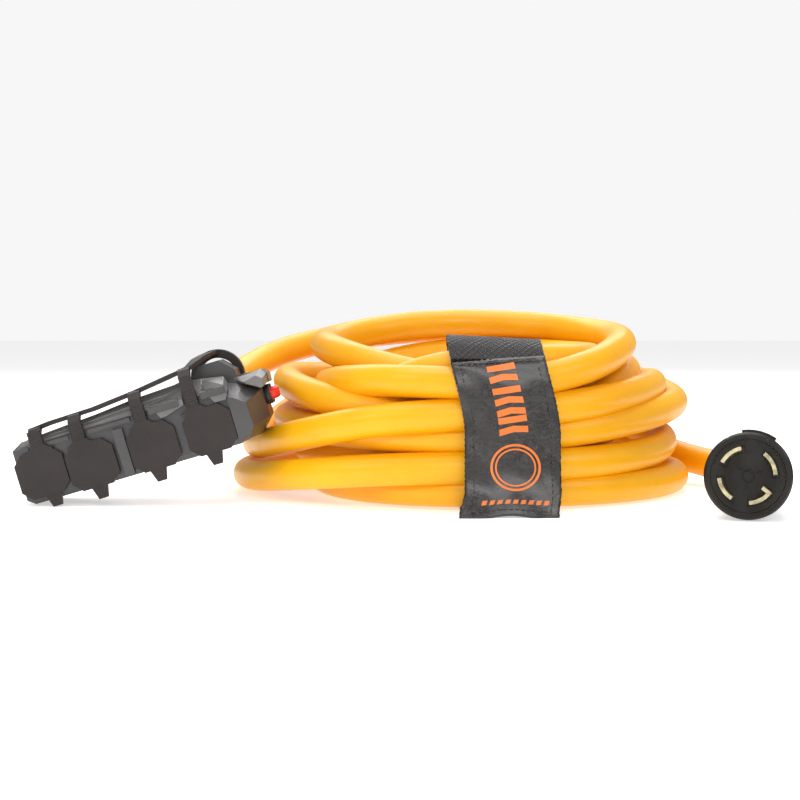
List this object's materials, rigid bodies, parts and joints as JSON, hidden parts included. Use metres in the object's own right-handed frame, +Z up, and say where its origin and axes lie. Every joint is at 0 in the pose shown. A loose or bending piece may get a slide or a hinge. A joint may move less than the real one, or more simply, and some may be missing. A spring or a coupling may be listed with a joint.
{
  "type": "shore power cord",
  "caption": "Coiled heavy power cord with a locking blade plug at one end and an in-line outlet block with hinged rubber caps at the other.",
  "frame": {"origin": "centre of the outlet block's footprint, on the surface that everything lies on", "axes": "+X along the outlet block towards its cord end and the coil, +Y away from the outlets towards the back of the coil, +Z up"},
  "size_m": [0.4329, 0.3317, 0.112],
  "materials": {
    "housing": "moulded, fine texture",
    "seal": "matt foam seal",
    "outlet_plastic": "moulded",
    "contact_brass": "stamped",
    "breaker_case": "moulded",
    "collar": "moulded nut",
    "reset_red": "gloss",
    "spring_steel": "wound wire",
    "screw_steel": "zinc plated",
    "clamp_plastic": "moulded",
    "wire_black": "insulation",
    "wire_red": "insulation",
    "wire_white": "insulation",
    "wire_green": "insulation",
    "boot_rubber": "ribbed",
    "cap_rubber": "matt moulded rubber",
    "cord_jacket": "satin extruded jacket",
    "strap_webbing": "woven nylon",
    "strap_label": "satin label cloth",
    "strap_tab": "hook and loop",
    "plug_shell": "moulded",
    "plug_inner": "moulded",
    "plug_boot": "ribbed",
    "blade_brass": "polished stamping",
    "plug_wires": "insulation"
  },
  "bodies": {
    "block": {"blade_ground": "blade_brass", "blade_line_1": "blade_brass", "blade_line_2": "blade_brass", "blade_neutral": "blade_brass", "block_cord_end": "cord_jacket", "block_front_housing": "housing", "block_rear_housing": "housing", "block_strain_relief": "boot_rubber", "breaker_1_body": "breaker_case", "breaker_1_collar": "collar", "breaker_1_spring": "spring_steel", "breaker_2_body": "breaker_case", "breaker_2_collar": "collar", "breaker_2_spring": "spring_steel", "cable_clamp": "clamp_plastic", "cord_block_lead": "cord_jacket", "cord_coil": "cord_jacket", "cord_plug_lead": "cord_jacket", "ground_busbar": "contact_brass", "ground_wire": "wire_green", "housing_gasket": "seal", "housing_screws": "screw_steel", "line_1_busbar": "contact_brass", "line_1_wire": "wire_black", "line_2_busbar": "contact_brass", "line_2_wire": "wire_red", "neutral_busbar": "contact_brass", "neutral_wire": "wire_white", "outlet_contacts_1": "contact_brass", "outlet_contacts_2": "contact_brass", "outlet_contacts_3": "contact_brass", "outlet_contacts_4": "contact_brass", "outlet_face_1": "outlet_plastic", "outlet_face_2": "outlet_plastic", "outlet_face_3": "outlet_plastic", "outlet_face_4": "outlet_plastic", "plug_body": "plug_shell", "plug_cord_end": "cord_jacket", "plug_core": "plug_inner", "plug_face": "plug_shell", "plug_strain_relief": "plug_boot", "plug_wires": "plug_wires", "strap_hook_tab": "strap_tab", "strap_panel": "strap_label", "strap_webbing": "strap_webbing", "tether_strap": "cap_rubber"},
    "cap_1": {"cap_1": "cap_rubber"},
    "cap_2": {"cap_2": "cap_rubber"},
    "cap_3": {"cap_3": "cap_rubber"},
    "cap_4": {"cap_4": "cap_rubber"},
    "reset_1": {"breaker_1_button": "reset_red"},
    "reset_2": {"breaker_2_button": "reset_red"}
  },
  "joints": [
    {"name": "cap_1_hinge", "type": "hinge", "parent": "block", "child": "cap_1", "pos_m": [-0.06129, -0.0397, 0.03525], "axis": [-0.9588, 0, -0.284], "range_deg": [0, 100]},
    {"name": "cap_2_hinge", "type": "hinge", "parent": "block", "child": "cap_2", "pos_m": [-0.03334, -0.0397, 0.04019], "axis": [-0.9588, 0, -0.284], "range_deg": [0, 100]},
    {"name": "cap_3_hinge", "type": "hinge", "parent": "block", "child": "cap_3", "pos_m": [0.00099, -0.0397, 0.05036], "axis": [-0.9588, 0, -0.284], "range_deg": [0, 100]},
    {"name": "cap_4_hinge", "type": "hinge", "parent": "block", "child": "cap_4", "pos_m": [0.03205, -0.0397, 0.05956], "axis": [-0.9588, 0, -0.284], "range_deg": [0, 100]},
    {"name": "reset_1_slide", "type": "slide", "parent": "block", "child": "reset_1", "axis": [-0.9588, 0, -0.284], "range_m": [0, 0.003], "stiffness_N_per_m": 700, "springref_m": -0.002, "deforming": ["breaker_1_spring"]},
    {"name": "reset_2_slide", "type": "slide", "parent": "block", "child": "reset_2", "axis": [-0.9588, 0, -0.284], "range_m": [0, 0.003], "stiffness_N_per_m": 700, "springref_m": -0.002, "deforming": ["breaker_2_spring"]}
  ]
}
